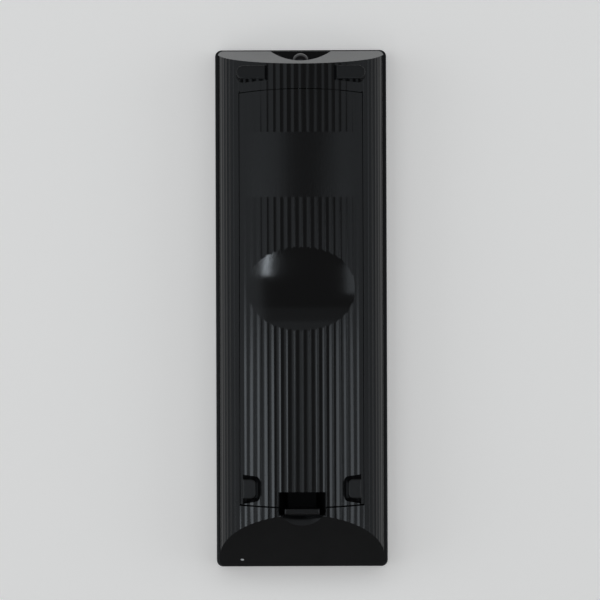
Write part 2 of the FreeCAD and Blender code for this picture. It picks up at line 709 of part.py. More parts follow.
def bay_tray_room():
    """The room of the bay's lower part, up to the tops of the cradles."""
    wide = BAY_HALF + BAY_WALL
    return block(-wide, wide, BAY_TAIL - BAY_WALL, BAY_NOSE + BAY_WALL, BAY_BOTTOM, CRADLE_TOP)


def bay_walls_room():
    """The room of the bay's upper walls, up to the ledges and the end walls' tops."""
    wide = BAY_HALF + BAY_WALL
    low = BAY_TAIL - BAY_WALL
    high = BAY_NOSE + BAY_WALL
    ledge_base = CROWN_EDGE + LEDGE_HEIGHT - LEDGE_ROOT
    end_top = CROWN_TOP - BAY_END_BELOW_CROWN
    room = block(-wide, wide, low, high, CRADLE_TOP, ledge_base)
    return room.fuse(block(-BAY_END_HALF, BAY_END_HALF, low, high, CRADLE_TOP, end_top))


# Battery door: a fluted lid with its dish, patch, feet, tongues and latch bridge
def dish(grow):
    """A shallow saddle: hollow along the case, and gently crowned across it."""
    low = CROWN_TOP - DISH_DEPTH
    radius = (DISH_HALF_LENGTH ** 2 + DISH_DEPTH ** 2) / (2 * DISH_DEPTH)
    share = DISH_HALF_WIDTH / SHELL_HALF
    side_fall = CROWN_RISE * (1 - math.sqrt(1 - share ** 2)) - DISH_DEPTH
    across = (DISH_HALF_WIDTH ** 2 + side_fall ** 2) / (2 * side_fall)
    reach = DISH_MARGIN * DISH_HALF_LENGTH
    top = low + radius - math.sqrt(radius ** 2 - reach ** 2)
    grown_top = low + radius - math.sqrt((radius + grow) ** 2 - reach ** 2)
    a = Vector(0, DISH_CENTRE - reach, grown_top)
    b = Vector(0, DISH_CENTRE, low - grow)
    c = Vector(0, DISH_CENTRE + reach, grown_top)
    lid = max(top, CROWN_TOP) + OVERCUT
    edges = [
        arc(a, b, c),
        line(c, Vector(0, c.y, lid)),
        line(Vector(0, c.y, lid), Vector(0, a.y, lid)),
        line(Vector(0, a.y, lid), a),
    ]
    face = Part.Face(Part.Wire(Part.__sortEdges__(edges)))
    axis_z = low - across
    swing = DISH_MARGIN * math.degrees(DISH_HALF_WIDTH / across)
    face.rotate(Vector(0, 0, axis_z), Vector(0, 1, 0), -swing)
    return face.revolve(Vector(0, 0, axis_z), Vector(0, 1, 0), 2 * swing)


def tail_foot(side):
    """A foot with round inner corners, whose walls spread on all but the outer side."""
    outer = side * (DOOR_HALF - SEAM - TAIL_FOOT_FROM_SIDE)
    corner = TAIL_FOOT_CORNER
    k = corner * (1 - math.sqrt(0.5))

    def outline(depth):
        low = TAIL_EDGE + TAIL_FOOT_FROM_SEAM - TAIL_FOOT_LOW_SLOPE * depth
        high = TAIL_EDGE + TAIL_FOOT_FROM_SEAM + TAIL_FOOT_LENGTH + TAIL_FOOT_HIGH_SLOPE * depth
        inner = outer - side * (TAIL_FOOT_WIDTH + TAIL_FOOT_INNER_SLOPE * depth)
        bend = inner + side * corner
        middle = inner + side * k
        return [
            line(Vector(outer, low, 0), Vector(outer, high, 0)),
            line(Vector(outer, high, 0), Vector(bend, high, 0)),
            arc(Vector(bend, high, 0), Vector(middle, high - k, 0), Vector(inner, high - corner, 0)),
            line(Vector(inner, high - corner, 0), Vector(inner, low + corner, 0)),
            arc(Vector(inner, low + corner, 0), Vector(middle, low + k, 0), Vector(bend, low, 0)),
            line(Vector(bend, low, 0), Vector(outer, low, 0)),
        ]

    foot = skirted(outline).common(door_plan(SEAM, TAIL_GAP, CROWN_EDGE, FOOT_TOP))
    return foot.cut(crown_body(DOOR_WALL / 2, PARTING_HEIGHT))


def tongue(side):
    """A hinge tongue that reaches under the nose of the rear case."""
    x0, x1 = sorted((side * TONGUE_INNER, side * (TONGUE_INNER + TONGUE_WIDTH)))
    share = (TONGUE_INNER + TONGUE_WIDTH) / (SHELL_HALF - SHELL_WALL)
    top = CROWN_EDGE + (CROWN_RISE - SHELL_WALL) * math.sqrt(1 - share ** 2) - TONGUE_GAP
    low = top - TONGUE_THICKNESS
    bow = NOSE_SEAM_SAG * ((TONGUE_INNER + TONGUE_WIDTH) / DOOR_HALF) ** 2
    root = NOSE_SEAM - bow - SEAM
    tip = block(x0, x1, root - TONGUE_ROOT, NOSE_SEAM + TONGUE_REACH, low, top)
    riser = block(x0, x1, root - TONGUE_ROOT, root, low, CROWN_TOP)
    return tip.fuse(riser.common(crown_body(DOOR_WALL / 2, PARTING_HEIGHT)))


def battery_door():
    panel = door_plan(SEAM, TAIL_GAP, CROWN_EDGE, FOOT_TOP)
    room = crown_body(DOOR_WALL, PARTING_HEIGHT).cut(dish(DISH_WALL))
    door = crown_body(0, PARTING_HEIGHT, fluted=True).common(panel).cut(room)
    patch_top = NOSE_SEAM - PATCH_FROM_NOSE_SEAM
    patch = block(
        -PATCH_HALF_WIDTH, PATCH_HALF_WIDTH, patch_top - PATCH_LENGTH, patch_top, CROWN_EDGE, FOOT_TOP
    )
    level = crown_body(PATCH_INSET, PARTING_HEIGHT)
    door = door.cut(patch.cut(level))
    door = door.fuse(patch.common(level).cut(crown_body(DOOR_WALL - PATCH_BOND, PARTING_HEIGHT)))
    door = door.cut(dish(0))
    door = door.fuse([tail_foot(-1), tail_foot(1), tongue(-1), tongue(1)])
    notch_end = TAIL_SEAM + SEAM + NOTCH_LENGTH
    notch = block(-NOTCH_HALF, NOTCH_HALF, TAIL_SEAM - OVERCUT, notch_end, CROWN_EDGE, FOOT_TOP)
    door = door.cut(notch)
    hidden = crown_body(DOOR_WALL / 2, PARTING_HEIGHT)
    leg_end = notch_end + LATCH_LEG
    low = PIVOT_Z - BRIDGE_THICKNESS / 2
    high = low + BRIDGE_THICKNESS
    leg = block(-LATCH_HALF, LATCH_HALF, notch_end, leg_end, low, CROWN_TOP)
    bridge_end = PIVOT_Y + LATCH_PIVOT_RADIUS + LATCH_PIVOT_GAP
    bridge = block(-LATCH_HALF, LATCH_HALF, bridge_end, leg_end, low, high)
    return door.fuse([leg.common(hidden), bridge])


# Latch: the sprung leg of the door's catch, with the tab that a finger pushes
def door_latch():
    pivot = rod(
        LATCH_PIVOT_RADIUS, Vector(-LATCH_HALF, PIVOT_Y, PIVOT_Z), Vector(LATCH_HALF, PIVOT_Y, PIVOT_Z)
    )
    top = CROWN_TOP - TAB_BELOW_CROWN
    leg = block(-LATCH_HALF, LATCH_HALF, TAIL_SEAM - LATCH_LEG, TAIL_SEAM, PIVOT_Z, top - TAB_HEAD)
    tab = block(-TAB_HALF, TAB_HALF, TAIL_SEAM - TAB_LENGTH, TAIL_SEAM, top - TAB_HEIGHT, top)
    brows = [edge for edge in tab.Edges if edge.BoundBox.ZMin > top - 1e-6]
    return pivot.fuse([leg, tab.makeFillet(TAB_ROUND, brows)])


# Inner pieces
def inner_sheet(z0, z1):
    """A sheet inside the front case, with clear holes for the screw posts."""
    half = CASE_HALF - SIDE_WALL - BOARD_SIDE_GAP
    end = NOSE_END - SIDE_WALL - BOARD_END_GAP
    sheet = round_plate(-half, half, -end, end, z0, z1, BOARD_CORNER)
    radius = POST_DIAMETER / 2 + POST_GAP
    return sheet.cut([rod(radius, Vector(x, y, 0), Vector(x, y, CELL_AXIS)) for x, y in SCREW_POINTS])


def keypad_mat():
    pockets = [
        prism(outline(KEY_FLANGE + POCKET_GAP), 0, POCKET_TOP) for outline in KEYS.values()
    ]
    return inner_sheet(FACE_IN, MAT_TOP).cut(pockets)


def circuit_board():
    return inner_sheet(MAT_TOP, BOARD_TOP)


def control_chip():
    length, width, height = CHIP_SIZE
    leg_width, leg_reach, leg_height = CHIP_LEG
    y = TAIL_BOARD_MIDDLE
    base = BOARD_TOP + leg_height / 2
    chip = block(-length / 2, length / 2, y - width / 2, y + width / 2, base, base + height)
    legs = []
    pitch = length / CHIP_LEGS
    half = leg_width / 2
    reach = width / 2 + leg_reach
    for i in range(CHIP_LEGS):
        x = -length / 2 + pitch * (i + 0.5)
        legs.append(block(x - half, x + half, y - reach, y + reach, BOARD_TOP, BOARD_TOP + leg_height))
    return chip.fuse(legs)


def board_block(x, y, size):
    """A block that stands on the board, round its middle."""
    length, width, height = size
    return block(
        x - length / 2, x + length / 2, y - width / 2, y + width / 2, BOARD_TOP, BOARD_TOP + height
    )


def resistor_set():
    solids = []
    for side in (-1, 1):
        for step in (0, 1):
            x = side * (CHIP_SIZE[0] / 2 + RESISTOR_FROM_CHIP + RESISTOR_PITCH * step)
            solids.append(board_block(x, TAIL_BOARD_MIDDLE, RESISTOR_SIZE))
    return Part.Compound(solids)


def resonator():
    can = board_block(BAY_HALF - RESONATOR_SIZE[0] / 2, TAIL_PARTS_ROW, RESONATOR_SIZE)
    upright = [edge for edge in can.Edges if edge.BoundBox.ZLength > RESONATOR_SIZE[2] / 2]
    return can.makeFillet(RESONATOR_ROUND, upright)


def capacitor():
    x = -(BAY_HALF - CAPACITOR_RADIUS)
    y = TAIL_PARTS_ROW
    can = rod(CAPACITOR_RADIUS, Vector(x, y, BOARD_TOP), Vector(x, y, BOARD_TOP + CAPACITOR_HEIGHT))
    rims = [edge for edge in can.Edges if edge.BoundBox.ZLength < CAPACITOR_ROUND]
    return can.makeFillet(CAPACITOR_ROUND, rims)


def driver_transistor():
    x = BAY_HALF - 2 * TRANSISTOR_RADIUS
    y = NOSE_SEAM
    top = BOARD_TOP + TRANSISTOR_HEIGHT
    can = rod(TRANSISTOR_RADIUS, Vector(x, y, BOARD_TOP), Vector(x, y, top))
    return can.cut(block(x - FAR, x + FAR, y - FAR, y - TRANSISTOR_FLAT, 0, FAR))


def ir_emitter():
    radius = EMITTER_DIAMETER / 2
    tip = NOSE_END - RECESS_DEPTH + EMITTER_REACH
    seat = EMITTER_SEAT - EMITTER_GAP / 2
    back = seat - EMITTER_FLANGE_THICKNESS
    flange = rod(EMITTER_FLANGE / 2, Vector(0, back, EMITTER_HEIGHT), Vector(0, seat, EMITTER_HEIGHT))
    barrel = rod(radius, Vector(0, back, EMITTER_HEIGHT), Vector(0, tip - radius, EMITTER_HEIGHT))
    dome = Part.makeSphere(radius, Vector(0, tip - radius, EMITTER_HEIGHT))
    return flange.fuse([barrel, dome])


def ir_emitter_leads():
    start = EMITTER_SEAT - EMITTER_GAP / 2 - EMITTER_FLANGE_THICKNESS
    back = start - LEAD_BACK
    half = LEAD_SIZE / 2
    low = EMITTER_HEIGHT - half
    high = EMITTER_HEIGHT + half
    wires = []
    for side in (-1, 1):
        x = side * LEAD_SPREAD / 2
        level = block(x - half, x + half, back, start, low, high)
        drop = block(x - half, x + half, back, back + LEAD_SIZE, BOARD_TOP, high)
        wires.append(level.fuse(drop).removeSplitter())
    return Part.Compound(wires)


def case_screws():
    screws = []
    for x, y in SCREW_POINTS:
        seat = Vector(x, y, BAY_FLOOR_TOP)
        shank = rod(SCREW_SHANK / 2, seat - Vector(0, 0, SCREW_LENGTH), seat)
        head = rod(SCREW_HEAD / 2, seat, seat + Vector(0, 0, SCREW_HEAD_HEIGHT))
        rim = [e for e in head.Edges if e.BoundBox.ZMin > BAY_FLOOR_TOP + SCREW_HEAD_HEIGHT / 2]
        head = head.makeFillet(SCREW_HEAD_HEIGHT / 3, rim)
        screw = head.fuse(shank)
        reach = SCREW_HEAD / 3
        half = SCREW_SLOT / 2
        top = BAY_FLOOR_TOP + SCREW_HEAD_HEIGHT
        for a, b in ((reach, half), (half, reach)):
            slot_base = top - SCREW_HEAD_HEIGHT / 2
            screw = screw.cut(block(x - a, x + a, y - b, y + b, slot_base, top + OVERCUT))
        screws.append(screw.removeSplitter())
    return Part.Compound(screws)


def cell(start):
    """The can of one cell, with its axis along the case."""
    can = rod(CELL_DIAMETER / 2, Vector(0, start, CELL_AXIS), Vector(0, start + CELL_BODY, CELL_AXIS))
    rims = [e for e in can.Edges if e.BoundBox.YLength < 1e-6]
    return can.makeFillet(CELL_ROUND, rims)


def cell_cap(start):
    """The raised contact on the nose of one cell."""
    end = start + CELL_BODY
    return rod(CELL_NUB_DIAMETER / 2, Vector(0, end, CELL_AXIS), Vector(0, end + CELL_NUB, CELL_AXIS))


def contact(y):
    """A contact plate whose tag goes through the bay's floor to the board."""
    half = PLATE_SIZE / 2
    plate = block(-half, half, y, y + PLATE_THICKNESS, CELL_AXIS - half, CELL_AXIS + half)
    tag_half = TAIL_TAG_WIDTH / 2
    tag = block(-tag_half, tag_half, y, y + PLATE_THICKNESS, BOARD_TOP, CELL_AXIS)
    return plate.fuse(tag)


def battery_spring():
    """Round turns of wire, each quarter turn one arc of the helix."""
    start = SPRING_START + SPRING_WIRE / 2

    def at(quarter):
        turn = quarter * math.pi / 2
        rise = SPRING_PITCH * quarter / 4
        return Vector(
            SPRING_RADIUS * math.cos(turn), start + rise, CELL_AXIS + SPRING_RADIUS * math.sin(turn)
        )

    quarters = int(round(SPRING_TURNS * 4))
    path = Part.Wire([arc(at(i), at(i + 0.5), at(i + 1)) for i in range(quarters)])
    heading = path.Edges[0].tangentAt(path.Edges[0].FirstParameter)
    section = Part.Wire([Part.makeCircle(SPRING_WIRE / 2, at(0), heading)])
    return path.makePipeShell([section], True, False)


def key(outline):
    """A cap that stands out of the face, on a flange behind the wall."""
    cap = prism(outline(0), KEY_TIP, FLANGE_TOP)
    tip = [e for e in cap.Edges if e.BoundBox.ZMax < KEY_TIP + 1e-6]
    cap = cap.makeFillet(KEY_ROUND, tip)
    return cap.fuse(prism(outline(KEY_FLANGE), FLANGE_BOTTOM, FLANGE_TOP))


save("front_case", front_case())
back = back_moulding()
save("rear_case", back.cut([bay_tray_room(), bay_walls_room()]))
save("battery_bay", back.common(bay_tray_room()))
save("bay_walls", back.common(bay_walls_room()))
save("battery_door", battery_door())
save("door_latch", door_latch())
save("keypad_mat", keypad_mat())
save("circuit_board", circuit_board())
save("control_chip", control_chip())
save("resistor_set", resistor_set())
save("resonator", resonator())
save("capacitor", capacitor())
save("driver_transistor", driver_transistor())
save("ir_emitter", ir_emitter())
save("ir_emitter_leads", ir_emitter_leads())
save("case_screws", case_screws())
save("lower_cell", cell(LOWER_CELL))
save("lower_cell_cap", cell_cap(LOWER_CELL))
save("upper_cell", cell(UPPER_CELL))
save("upper_cell_cap", cell_cap(UPPER_CELL))
save("battery_spring", battery_spring())
save("spring_plate", contact(BAY_TAIL))
save("contact_plate", contact(BAY_NOSE - PLATE_THICKNESS))
for key_name, key_outline in KEYS.items():
    save(key_name, key(key_outline))

print("length", LENGTH, "crown top", CROWN_TOP, "door half", DOOR_HALF)
print("nose seam", NOSE_SEAM, "tail seam", TAIL_SEAM, "bay", BAY_TAIL, BAY_NOSE)
print("pivot", PIVOT_Y, PIVOT_Z, "dish centre", DISH_CENTRE)
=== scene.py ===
"""Looks of a remote control for a disc player, lying face down on a pale table.

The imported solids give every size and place. This file dresses them in finishes
that are named for what the real ones are, adds the printed marks and touch pips
of the keys, the pole signs of the cells and a fleck of dust on the case, and sets
up a plain studio round the handset.
"""

import logging
import math
from dataclasses import dataclass
from enum import Enum
from typing import Any, Optional

import bpy
import numpy as np
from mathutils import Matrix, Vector

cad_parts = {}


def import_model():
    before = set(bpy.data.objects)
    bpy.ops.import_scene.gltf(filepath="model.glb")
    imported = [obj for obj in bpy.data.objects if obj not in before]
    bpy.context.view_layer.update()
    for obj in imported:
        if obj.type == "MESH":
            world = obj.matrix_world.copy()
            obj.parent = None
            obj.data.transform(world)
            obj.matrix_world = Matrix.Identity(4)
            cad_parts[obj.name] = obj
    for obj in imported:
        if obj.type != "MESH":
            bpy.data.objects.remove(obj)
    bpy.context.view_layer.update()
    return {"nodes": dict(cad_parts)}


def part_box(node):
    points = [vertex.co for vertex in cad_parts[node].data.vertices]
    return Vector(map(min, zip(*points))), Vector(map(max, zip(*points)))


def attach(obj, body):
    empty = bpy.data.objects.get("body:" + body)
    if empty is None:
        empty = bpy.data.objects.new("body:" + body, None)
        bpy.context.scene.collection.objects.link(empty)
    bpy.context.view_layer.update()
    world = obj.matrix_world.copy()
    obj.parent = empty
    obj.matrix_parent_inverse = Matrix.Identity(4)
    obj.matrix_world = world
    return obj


LOG = logging.getLogger("remote")
MM = 0.001

Colour = tuple[float, float, float, float]
Points = np.ndarray
Faces = list[tuple[int, ...]]
Node = bpy.types.Node
Socket = bpy.types.NodeSocket
Tree = bpy.types.NodeTree

WHITE: Colour = (1.0, 1.0, 1.0, 1.0)


def linear(code: str) -> Colour:
    """Turn an sRGB hex colour into linear light.

    Args:
        code: Six hex digits after a hash sign.

    Returns:
        Red, green, blue and an alpha of one.
    """
    parts = [int(code[i:i + 2], 16) / 255 for i in (1, 3, 5)]
    light = [p / 12.92 if p <= 0.04045 else ((p + 0.055) / 1.055) ** 2.4 for p in parts]
    return (light[0], light[1], light[2], 1.0)


def per_metre(size_mm: float) -> float:
    """Texture scale for a pattern whose repeat is given in millimetres."""
    return 1 / (size_mm * MM)


def new_object(name: str, data: Any) -> bpy.types.Object:
    """Add an object that holds the data to the scene."""
    made = bpy.data.objects.new(name, data)
    bpy.context.scene.collection.objects.link(made)
    return made


# Node helpers


def feed(tree: Tree, node: Node, inputs: dict[Any, Any]) -> None:
    """Link or set inputs of a node.

    Args:
        tree: The node's tree.
        node: The node.
        inputs: What goes in, by the input's name or number: an output socket of
            another node, which is linked, or a constant.
    """
    for key, value in inputs.items():
        if isinstance(value, Socket):
            tree.links.new(value, node.inputs[key])
        else:
            node.inputs[key].default_value = value


def add_node(
    tree: Tree, kind: str, inputs: Optional[dict[Any, Any]] = None, **settings: Any
) -> Node:
    """Add one node with its settings and its inputs.

    Args:
        tree: The node tree that takes the node.
        kind: The node's type name, without its ShaderNode prefix.
        inputs: Sockets or constants, by the input's name or number.
        settings: Properties of the node itself.

    Returns:
        The new node.
    """
    node = tree.nodes.new("ShaderNode" + kind)
    for name, value in settings.items():
        setattr(node, name, value)
    feed(tree, node, inputs or {})
    return node


def maths(tree: Tree, operation: str, *terms: Any) -> Socket:
    """The result of one sum.

    Args:
        tree: The node tree that takes the node.
        operation: The sum's name in Blender.
        terms: Sockets or constants, in the order of the inputs.

    Returns:
        The result's socket.
    """
    return add_node(tree, "Math", dict(enumerate(terms)), operation=operation).outputs[0]


def mix(tree: Tree, data_type: str, share: Socket, first: Any, second: Any) -> Socket:
    """Two colours or two numbers, mixed.

    Args:
        tree: The node tree that takes the node.
        data_type: RGBA for colours, FLOAT for numbers.
        share: How much of the second there is, from 0 to 1.
        first: A socket or a constant.
        second: A socket or a constant.

    Returns:
        The result's socket.
    """
    inputs = {"Factor": share, "A": first, "B": second}
    return add_node(tree, "Mix", inputs, data_type=data_type).outputs["Result"]


def noise(tree: Tree, where: Socket, size_mm: float, detail: float = 2.0) -> Socket:
    """A cloudy noise from 0 to 1.

    Args:
        tree: The node tree that takes the node.
        where: The place that it is read at.
        size_mm: Size of its broadest clouds, in millimetres.
        detail: How many finer layers lie over them.

    Returns:
        The noise's socket.
    """
    inputs = {"Scale": per_metre(size_mm), "Detail": detail, "Vector": where}
    return add_node(tree, "TexNoise", inputs).outputs["Fac"]


# Finishes


@dataclass(frozen=True)
class Finish:
    """What every finish has: its common name, its colour and its gloss."""

    name: str
    colour: str
    roughness: float
    ior: float = 1.5
    metallic: float = 0.0

    def material(self) -> bpy.types.Material:
        """Build the material.

        Returns:
            A node material with this finish's texture.
        """
        made = bpy.data.materials.new(self.name)
        made.use_nodes = True
        tree = made.node_tree
        shader = tree.nodes["Principled BSDF"]
        plain = {
            "Base Color": linear(self.colour),
            "Roughness": self.roughness,
            "IOR": self.ior,
            "Metallic": self.metallic,
        }
        feed(tree, shader, plain)
        feed(tree, shader, self.texture(tree))
        return made

    def texture(self, tree: Tree) -> dict[str, Socket]:
        """The patterns that drive the shader, by its inputs; each finish has its own."""
        raise NotImplementedError

    def uneven(self, tree: Tree, pattern: Socket, spread: float) -> Socket:
        """This finish's roughness, moved up and down by a pattern.

        Args:
            tree: The material's tree.
            pattern: A socket from 0 to 1.
            spread: How far the roughness goes each way.

        Returns:
            The roughness.
        """
        ends = {
            "To Min": self.roughness - spread,
            "To Max": self.roughness + spread,
            "Value": pattern,
        }
        return add_node(tree, "MapRange", ends).outputs["Result"]


@dataclass(frozen=True)
class Place:
    """Part of a moulding with a gloss of its own, seen in plan: an oval or a rectangle.

    Sizes are in millimetres: the middle of the place, then half its width and length.
    A rectangle can be bowed: its middle line then rises by the bow times the square of
    the distance from the centre.
    """

    centre: tuple[float, float]
    half: tuple[float, float]
    roughness: float
    oval: bool = False
    bow: float = 0.0

    def mixed(self, tree: Tree, where: Socket, around: Socket) -> Socket:
        """The roughness around, changed inside the place.

        Args:
            tree: The material's tree.
            where: Object coordinates.
            around: The roughness outside the place.

        Returns:
            The roughness with this place in it.
        """
        scale = [per_metre(size) for size in self.half]
        shift = [-middle / size for middle, size in zip(self.centre, self.half)]
        inputs = {"Scale": (*scale, 0.0), "Location": (*shift, 0.0), "Vector": where}
        own = add_node(tree, "Mapping", inputs).outputs[0]
        if self.oval:
            reach = add_node(tree, "VectorMath", {0: own}, operation="LENGTH").outputs["Value"]
        else:
            x, y = add_node(tree, "SeparateXYZ", {0: own}).outputs[:2]
            rise = self.bow * self.half[0] ** 2 / self.half[1]
            line = maths(tree, "MULTIPLY_ADD", maths(tree, "MULTIPLY", x, x), -rise, y)
            sides = [maths(tree, "ABSOLUTE", side) for side in (x, line)]
            reach = maths(tree, "MAXIMUM", *sides)
        return mix(tree, "FLOAT", maths(tree, "LESS_THAN", reach, 1.0), around, self.roughness)


@dataclass(frozen=True)
class Moulded(Finish):
    """Moulded plastic or rubber: a fine eroded grain, uneven gloss and a little dust.

    The grain of the real mould is about 0.05 mm, which is too fine to show, so it
    is drawn as coarse as the eye can find in the render. Edges have the small
    round that every moulded edge has. Lengths are in millimetres, but the size of a
    speck of dust is a share of its net's cell.
    """

    grain: float = 0.35
    grain_depth: float = 0.004
    edge_round: float = 0.04
    edge_rays: int = 4
    gloss_patch: float = 9.0
    gloss_spread: float = 0.04
    dust_net: float = 6.0
    dust_size: float = 0.025
    dust_share: float = 0.0
    dust_colour: str = "#77777A"
    worn_above: float = 25.2
    worn_roughness: float = 0.5
    places: tuple[Place, ...] = ()

    def texture(self, tree: Tree) -> dict[str, Socket]:
        """Grain as a bump, cloudy gloss, and the colour with what lies on it."""
        where = add_node(tree, "TexCoord").outputs["Object"]
        return {
            "Normal": self.grainy(tree, where),
            "Roughness": self.gloss(tree, where),
            "Base Color": self.coloured(tree, where),
        }

    def grainy(self, tree: Tree, where: Socket) -> Socket:
        """The mould's grain as a bump, on edges with a small round."""
        edge = add_node(tree, "Bevel", {"Radius": self.edge_round * MM}, samples=self.edge_rays)
        relief = {
            "Strength": 1.0,
            "Distance": self.grain_depth * MM,
            "Height": noise(tree, where, self.grain),
            "Normal": edge.outputs["Normal"],
        }
        return add_node(tree, "Bump", relief).outputs["Normal"]

    def gloss(self, tree: Tree, where: Socket) -> Socket:
        """Roughness in soft patches, with the tops that tables scuff and the other places."""
        cloud = noise(tree, where, self.gloss_patch, 3.0)
        rough = self.uneven(tree, cloud, self.gloss_spread)
        height = add_node(tree, "SeparateXYZ", {0: where}).outputs["Z"]
        worn = maths(tree, "GREATER_THAN", height, self.worn_above * MM)
        rough = mix(tree, "FLOAT", worn, rough, self.worn_roughness)
        for spot in self.places:
            rough = spot.mixed(tree, where, rough)
        return rough

    def coloured(self, tree: Tree, where: Socket) -> Socket:
        """The plastic's colour with pale specks, in a share of a Voronoi net's cells."""
        cells = {"Scale": per_metre(self.dust_net), "Randomness": 1.0, "Vector": where}
        net = add_node(tree, "TexVoronoi", cells)
        near = maths(tree, "LESS_THAN", net.outputs["Distance"], self.dust_size)
        chance = add_node(tree, "SeparateColor", {"Color": net.outputs["Color"]}).outputs["Red"]
        pick = maths(tree, "LESS_THAN", chance, self.dust_share)
        speck = maths(tree, "MULTIPLY", near, pick)
        return mix(tree, "RGBA", speck, linear(self.colour), linear(self.dust_colour))


@dataclass(frozen=True)
class Laminate(Moulded):
    """Circuit board: paper laminate with a soft fibre mottle under green lacquer."""

    fibre: float = 1.2
    fibre_stretch: tuple[float, float, float] = (1.0, 0.25, 1.0)
    fibre_colour: str = "#2E6B45"

    def coloured(self, tree: Tree, where: Socket) -> Socket:
        """Two greens mixed by a stretched noise that reads as paper fibre."""
        stretched = {"Scale": self.fibre_stretch, "Vector": where}
        along = add_node(tree, "Mapping", stretched).outputs[0]
        fibres = noise(tree, along, self.fibre, 4.0)
        return mix(tree, "RGBA", fibres, linear(self.colour), linear(self.fibre_colour))


@dataclass(frozen=True)
class PlatedMetal(Finish):
    """Rolled or drawn metal under bright plating, with fine lines along one way."""

    line: float = 0.25
    line_depth: float = 0.002
    line_stretch: tuple[float, float, float] = (1.0, 0.08, 1.0)
    gloss_spread: float = 0.08

    def texture(self, tree: Tree) -> dict[str, Socket]:
        """Drawing lines as a bump and as uneven gloss."""
        where = add_node(tree, "TexCoord").outputs["Object"]
        stretched = {"Scale": self.line_stretch, "Vector": where}
        drawn = add_node(tree, "Mapping", stretched).outputs[0]
        lines = noise(tree, drawn, self.line, 3.0)
        relief = {"Strength": 1.0, "Distance": self.line_depth * MM, "Height": lines}
        return {
            "Normal": add_node(tree, "Bump", relief).outputs["Normal"],
            "Roughness": self.uneven(tree, lines, self.gloss_spread),
        }


@dataclass(frozen=True)
class Sleeve(Moulded):
    """Shrink sleeve of a cell: printed film with a coloured band at its positive end."""

    band_colour: str = "#B9BCC0"
    band_period: float = 50.5
    band_start: float = 6.225
    band_from: float = 0.72

    def coloured(self, tree: Tree, where: Socket) -> Socket:
        """The body colour, and the band where the place along a cell is past a share of it."""
        cell = {
            "From Min": self.band_start * MM,
            "From Max": (self.band_start + self.band_period) * MM,
            "Value": add_node(tree, "SeparateXYZ", {0: where}).outputs["Y"],
        }
        along = add_node(tree, "MapRange", cell, clamp=False).outputs["Result"]
        past = maths(tree, "GREATER_THAN", maths(tree, "FRACT", along), self.band_from)
        return mix(tree, "RGBA", past, linear(self.colour), linear(self.band_colour))


# Roughness of a corner where dust lies
DULL = 0.95

# ABS from a spark-eroded mould: near black and satin, but dull with dust in the latch's
# well and on the ledges under the door's tail seam and its two side seams
CASE_ABS = Moulded(
    "satin_black_abs_eroded", "#070708", 0.17, dust_share=0.05,
    places=(
        Place((0.0, -53.9), (6.7, 4.2), DULL),
        Place((0.0, -55.555), (17.43, 0.45), DULL, bow=0.0028),
        Place((-17.2, 2.75), (0.22, 58.0), DULL),
        Place((17.2, 2.75), (0.22, 58.0), DULL),
    ),
)
# The latch's ABS, rubbed smooth by the finger
LATCH_ABS = Moulded("rubbed_black_abs_latch", "#0A0A0B", 0.3)
# The front plate's ABS: nearly the same colour, with a coarser, duller grain
FACE_ABS = Moulded("matt_black_abs_moulded", "#08080A", 0.36, grain=0.45)
# The door's ABS: duller on the label's place, polished in the dish where the thumb goes,
# and dull with dust in its notch over the latch
DOOR_ABS = Moulded(
    "satin_black_abs_door", "#070708", 0.17, dust_share=0.05,
    places=(
        Place((0.0, 40.2), (15.6, 9.1), 0.26),
        Place((0.0, 5.425), (15.3, 12.0), 0.12, oval=True),
        Place((0.0, -54.6), (6.7, 3.15), DULL),
    ),
)
# Silicone keys: soft grey-black with a dry sheen
KEY_RUBBER = Moulded("dark_silicone_key", "#1B1C1F", 0.5, ior=1.42, grain=0.4)
# Silicone coloured in the mass, for the four menu keys
RED_RUBBER = Moulded("red_silicone_key", "#A31F1D", 0.48, ior=1.42, grain=0.4)
GREEN_RUBBER = Moulded("green_silicone_key", "#1E7A3A", 0.48, ior=1.42, grain=0.4)
YELLOW_RUBBER = Moulded("yellow_silicone_key", "#C9A21B", 0.48, ior=1.42, grain=0.4)
BLUE_RUBBER = Moulded("blue_silicone_key", "#1C4E9C", 0.48, ior=1.42, grain=0.4)
# The mat's silicone: paler and duller, as it comes from the press
MAT_RUBBER = Moulded("grey_silicone_mat", "#3A3C40", 0.6, ior=1.42, grain=0.6)
# Screen-printed ink: opaque, pale and slightly raised; the cells' signs have it too
KEY_INK = Moulded("pale_screen_ink", "#C4C6C8", 0.55, grain=0.3, edge_round=0.02)
# Phenolic paper board under green solder lacquer
BOARD = Laminate("green_lacquered_laminate", "#1F5233", 0.35, grain=0.5)
# Transfer-moulded epoxy of the chips
CHIP_EPOXY = Moulded("black_epoxy_moulding", "#131415", 0.5, grain=0.3)
# Resin that a ceramic resonator is dipped in
RESONATOR_COAT = Moulded("blue_dipped_resin", "#274C8F", 0.3, grain=1.2, grain_depth=0.01)
# Shrunk PVC film round the capacitor's can
CAPACITOR_SLEEVE = Moulded("black_pvc_shrink_sleeve", "#15161C", 0.3, grain=0.8)
# Cast epoxy that is dark to the eye and clear to infrared
EMITTER_EPOXY = Moulded(
    "smoked_cast_epoxy", "#0D090C", 0.1, ior=1.55, grain=2.0, grain_depth=0.002
)
# The emitter's legs: drawn copper wire under tin
TINNED_WIRE = PlatedMetal("tinned_copper_wire", "#C9C7C1", 0.3, metallic=1.0)
# Springs, plates, caps and screws: steel under nickel
NICKEL = PlatedMetal("nickel_plated_steel", "#C6C2B8", 0.24, metallic=1.0)
# The cells' printed film, dark blue with a silver band
CELL_SLEEVE = Sleeve("printed_cell_sleeve", "#23303F", 0.28, grain=1.5, grain_depth=0.002)
# A fleck of lint
DUST = Moulded("pale_dust", "#D8D8D6", 0.9, grain=0.1, grain_depth=0.02, edge_round=0.02)


